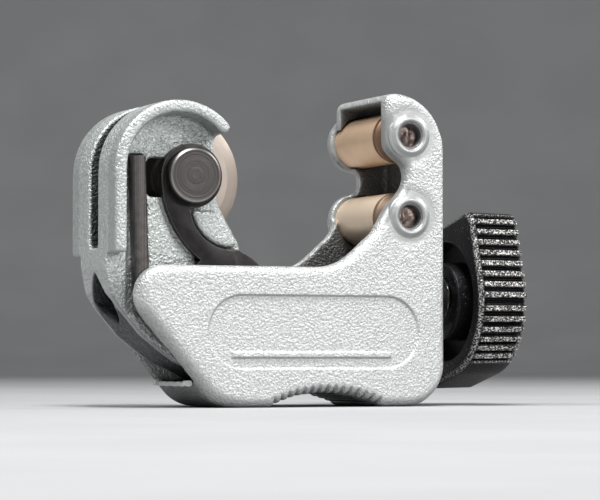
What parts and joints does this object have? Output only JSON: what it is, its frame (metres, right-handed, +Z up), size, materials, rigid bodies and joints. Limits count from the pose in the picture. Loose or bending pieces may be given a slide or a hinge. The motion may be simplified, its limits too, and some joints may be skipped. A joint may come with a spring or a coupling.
{
  "type": "close-quarters tube cutter",
  "caption": "Compact C-frame tube cutter: cutter wheel on a spring-fed lever in a sliding head, grooved rollers in the frame's ears, and a ribbed feed knob.",
  "frame": {"origin": "Middle of the object's footprint, on the plane that the feet rest on.", "axes": "+X is the direction in which the cutter wheel closes on the rollers, towards the knob; +Z is up; +Y is away from the side with the wheel pin's head."},
  "size_m": [0.062, 0.022, 0.0442],
  "materials": {
    "cast_body": "textured satin grey paint on a casting",
    "cast_head": "satin grey paint on a casting",
    "steel": "machined",
    "dark_steel": "black oxide",
    "spring_steel": "dark spring steel",
    "wheel_steel": "ground tool steel",
    "roller_bronze": "satin",
    "pin_copper": "peened",
    "knob_black": "textured black"
  },
  "bodies": {
    "frame": {"frame": "cast_body", "feed_nut": "steel", "upper_roller_pin": "pin_copper", "lower_roller_pin": "pin_copper"},
    "upper_roller_body": {"upper_roller": "roller_bronze"},
    "lower_roller_body": {"lower_roller": "roller_bronze"},
    "slide": {"slide_housing": "cast_head", "lever_pivot_pin": "steel", "screw_retaining_pins": "steel", "thrust_washer": "steel", "autofeed_spring": "spring_steel"},
    "lever": {"front_lever": "dark_steel", "rear_lever": "dark_steel", "lever_bridge_pin": "dark_steel", "wheel_pin": "dark_steel", "wheel_pin_clip": "spring_steel"},
    "wheel": {"cutter_wheel": "wheel_steel"},
    "knob": {"feed_screw": "steel", "feed_knob": "knob_black", "knob_cross_pin": "steel"}
  },
  "joints": [
    {"name": "slide_feed", "type": "slide", "parent": "frame", "child": "slide", "axis": [1, 0, 0], "range_m": [-0.00363, 0.01638]},
    {"name": "knob_turn", "type": "hinge", "parent": "slide", "child": "knob", "pos_m": [0.02, 0, 0.01505], "axis": [-1, 0, 0], "range_deg": [-871, 3931]},
    {"name": "lever_swing", "type": "hinge", "parent": "slide", "child": "lever", "pos_m": [-0.0134, 0, 0.0154], "axis": [0, -1, 0], "range_deg": [0, 7], "stiffness_Nm_per_rad": 1, "springref_deg": -45.84, "deforming": ["autofeed_spring"]},
    {"name": "wheel_spin", "type": "hinge", "parent": "lever", "child": "wheel", "pos_m": [-0.0188, 0, 0.0318], "axis": [0, 1, 0], "continuous": true},
    {"name": "upper_roller_spin", "type": "hinge", "parent": "frame", "child": "upper_roller_body", "pos_m": [0.0132, 0, 0.0382], "axis": [0, 1, 0], "continuous": true},
    {"name": "lower_roller_spin", "type": "hinge", "parent": "frame", "child": "lower_roller_body", "pos_m": [0.0132, 0, 0.02675], "axis": [0, 1, 0], "continuous": true}
  ],
  "couplings": [
    {"joint": "knob_turn", "follows": "slide_feed", "rad_per_m": 4188.8}
  ]
}
